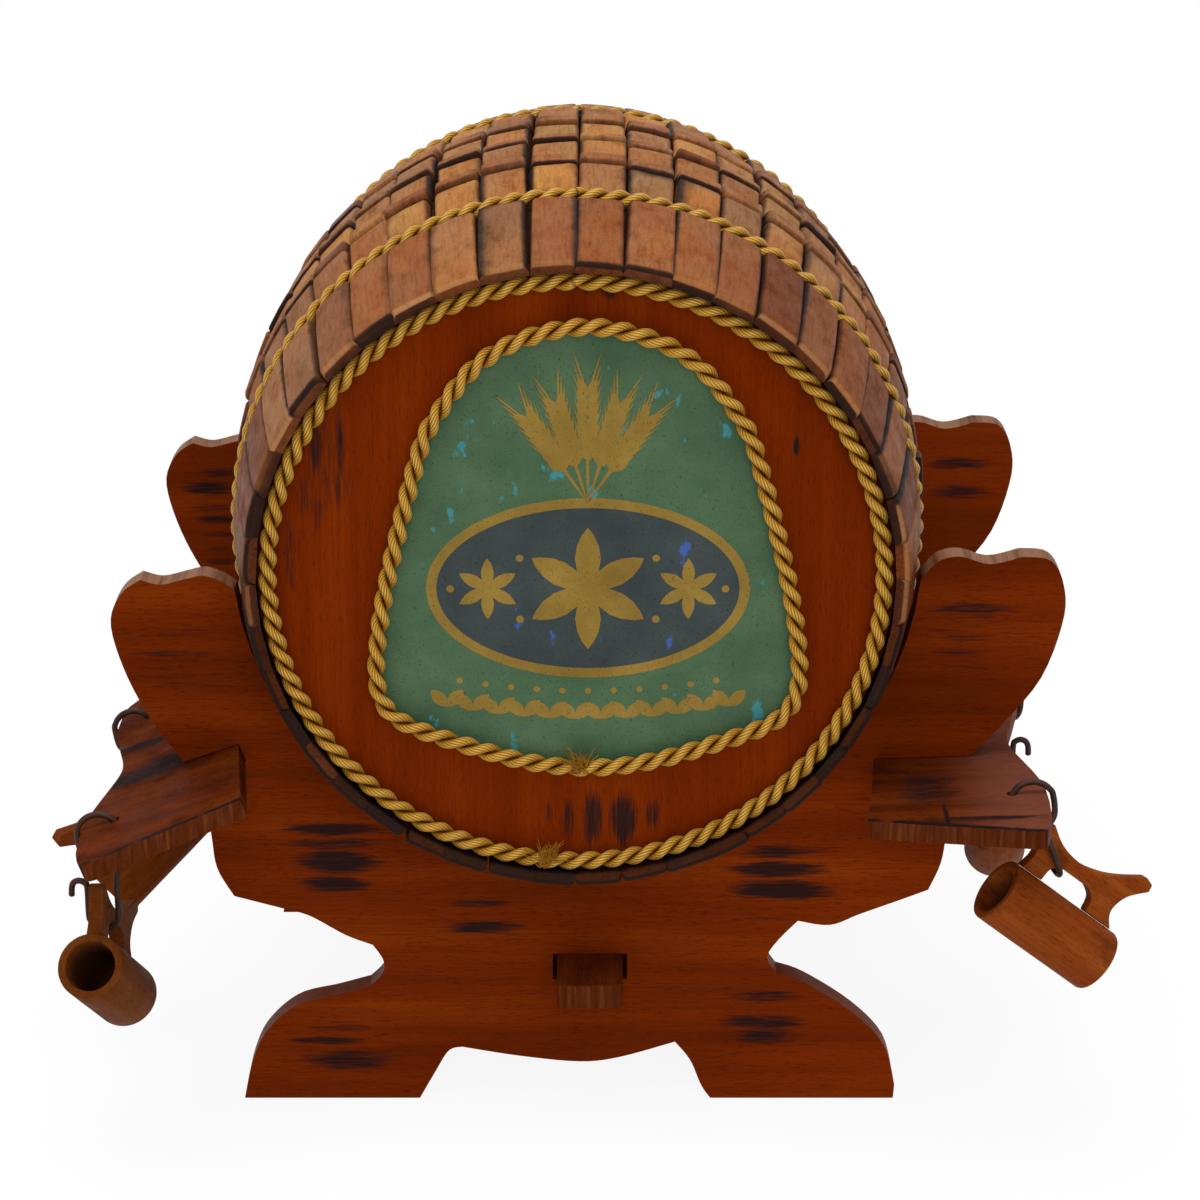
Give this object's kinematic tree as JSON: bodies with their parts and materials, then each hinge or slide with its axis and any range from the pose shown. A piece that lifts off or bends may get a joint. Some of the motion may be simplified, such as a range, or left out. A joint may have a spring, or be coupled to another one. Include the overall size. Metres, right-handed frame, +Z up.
{
  "type": "decorative barrel on stand",
  "caption": "Tile-covered display barrel with a corded label on its front head, resting in a sawn cradle stand with side planks from which little mugs hang on wire hooks.",
  "frame": {"origin": "middle of the footprint box, on the floor", "axes": "+X across the front head to the viewer's right, +Y from the front head to the rear one, +Z up"},
  "size_m": [0.3624, 0.2526, 0.3079],
  "materials": {
    "stained_wood": "lacquered reddish-brown stain with scorched streaks",
    "head_wood": "lacquered orange-brown stain",
    "tile_wood": "semi-gloss tan with scorched edges",
    "cord": "twisted golden satin cord",
    "iron_wire": "browned iron wire",
    "printed_tin": "printed tin sheet, a little scuffed",
    "mug_wood": "lacquered orange-brown",
    "raw_wood": "bare"
  },
  "bodies": {
    "stand": {"front_cradle_board": "stained_wood", "rear_cradle_board": "stained_wood", "stretcher": "stained_wood", "left_hanger_plank": "stained_wood", "right_hanger_plank": "stained_wood"},
    "barrel": {"barrel_drum": "raw_wood", "front_head": "head_wood", "rear_head": "head_wood", "label_panel": "printed_tin", "front_tile_ring": "tile_wood", "belly_tile_course_1": "tile_wood", "belly_tile_course_2": "tile_wood", "belly_tile_course_3": "tile_wood", "belly_tile_course_4": "tile_wood", "belly_tile_course_5": "tile_wood", "belly_tile_course_6": "tile_wood", "belly_tile_course_7": "tile_wood", "rear_tile_ring": "tile_wood", "front_head_cord": "cord", "label_cord": "cord", "front_hoop_cord": "cord", "rear_hoop_cord": "cord", "rear_head_cord": "cord"},
    "front_left_hook_body": {"front_left_hook": "iron_wire"},
    "front_left_mug": {"front_left_cup": "mug_wood", "front_left_handle": "mug_wood"},
    "front_right_hook_body": {"front_right_hook": "iron_wire"},
    "front_right_mug": {"front_right_cup": "mug_wood", "front_right_handle": "mug_wood"},
    "rear_left_hook_body": {"rear_left_hook": "iron_wire"},
    "rear_left_mug": {"rear_left_cup": "mug_wood", "rear_left_handle": "mug_wood"},
    "rear_right_hook_body": {"rear_right_hook": "iron_wire"},
    "rear_right_mug": {"rear_right_cup": "mug_wood", "rear_right_handle": "mug_wood"}
  },
  "joints": [
    {"name": "barrel_lift", "type": "slide", "parent": "stand", "child": "barrel", "axis": [0, 0, 1], "range_m": [0, 0.15]},
    {"name": "front_left_hook_swing", "type": "hinge", "parent": "stand", "child": "front_left_hook_body", "pos_m": [-0.15272, -0.0971, 0.111], "axis": [0, 1, 0], "range_deg": [-15, 15]},
    {"name": "front_left_mug_swing", "type": "hinge", "parent": "front_left_hook_body", "child": "front_left_mug", "pos_m": [-0.15272, -0.0971, 0.078], "axis": [-0.9945, 0.1045, 0], "range_deg": [-20, 20]},
    {"name": "front_right_hook_swing", "type": "hinge", "parent": "stand", "child": "front_right_hook_body", "pos_m": [0.14105, -0.0971, 0.12224], "axis": [0, 1, 0], "range_deg": [-10, 20]},
    {"name": "front_right_mug_swing", "type": "hinge", "parent": "front_right_hook_body", "child": "front_right_mug", "pos_m": [0.15011, -0.0971, 0.09734], "axis": [-0.2273, 0.9703, -0.0827], "range_deg": [-20, 20]},
    {"name": "rear_left_hook_swing", "type": "hinge", "parent": "stand", "child": "rear_left_hook_body", "pos_m": [-0.15272, -0.0121, 0.111], "axis": [0, 1, 0], "range_deg": [-15, 15]},
    {"name": "rear_left_mug_swing", "type": "hinge", "parent": "rear_left_hook_body", "child": "rear_left_mug", "pos_m": [-0.15272, -0.0121, 0.083], "axis": [0.4695, -0.8829, 0], "range_deg": [-20, 20]},
    {"name": "rear_right_hook_swing", "type": "hinge", "parent": "stand", "child": "rear_right_hook_body", "pos_m": [0.14105, -0.0121, 0.12224], "axis": [0, 1, 0], "range_deg": [-15, 15]},
    {"name": "rear_right_mug_swing", "type": "hinge", "parent": "rear_right_hook_body", "child": "rear_right_mug", "pos_m": [0.14105, -0.0121, 0.09124], "axis": [0.9903, -0.1392, 0], "range_deg": [-20, 20]}
  ]
}
